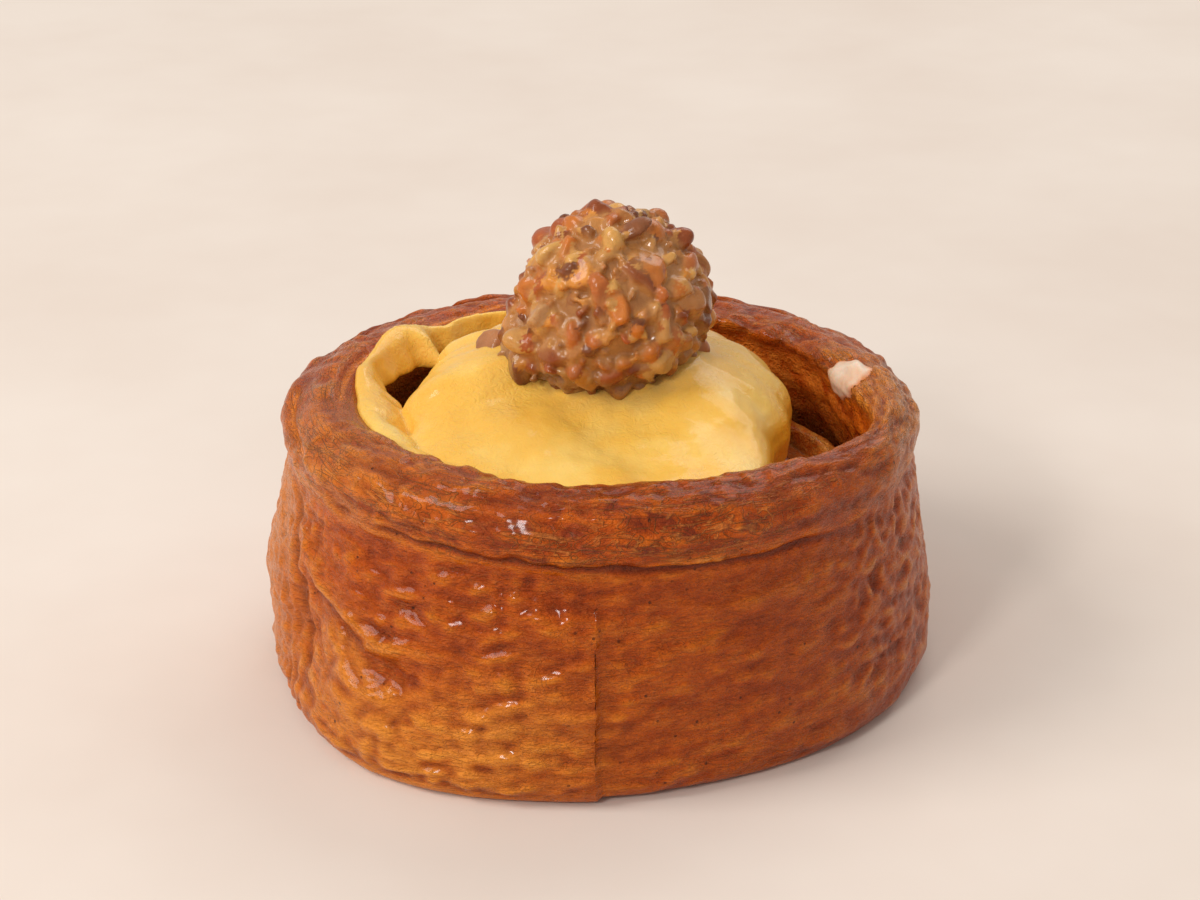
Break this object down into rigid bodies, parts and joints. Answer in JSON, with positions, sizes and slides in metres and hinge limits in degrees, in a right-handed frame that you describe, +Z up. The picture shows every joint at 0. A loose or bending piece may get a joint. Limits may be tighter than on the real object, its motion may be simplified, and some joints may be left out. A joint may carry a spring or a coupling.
{
  "type": "danish pastry",
  "caption": "Round laminated pastry cup, a strip of croissant dough coiled in a baking ring, filled with custard and topped with a ball of glazed chopped nuts.",
  "frame": {"origin": "middle of the base, on the flat face that rests on the table", "axes": "+Z up through the nut ball; the seam of the outer strip faces -Y, and the open crescent beside the custard is towards +X"},
  "size_m": [0.1124, 0.111, 0.0781],
  "materials": {
    "crust": "deep orange-brown egg-washed laminated crust, satin to glossy, with fine ridges",
    "custard": "pale yellow moist custard with soft uneven gloss",
    "glazed_nuts": "chopped brown nuts held together by a glossy beige syrup",
    "icing": "small smear of pale pinkish white icing on the rim"
  },
  "bodies": {
    "root": {"pastry": "crust", "custard": "custard", "nut_ball": "glazed_nuts"}
  },
  "joints": []
}
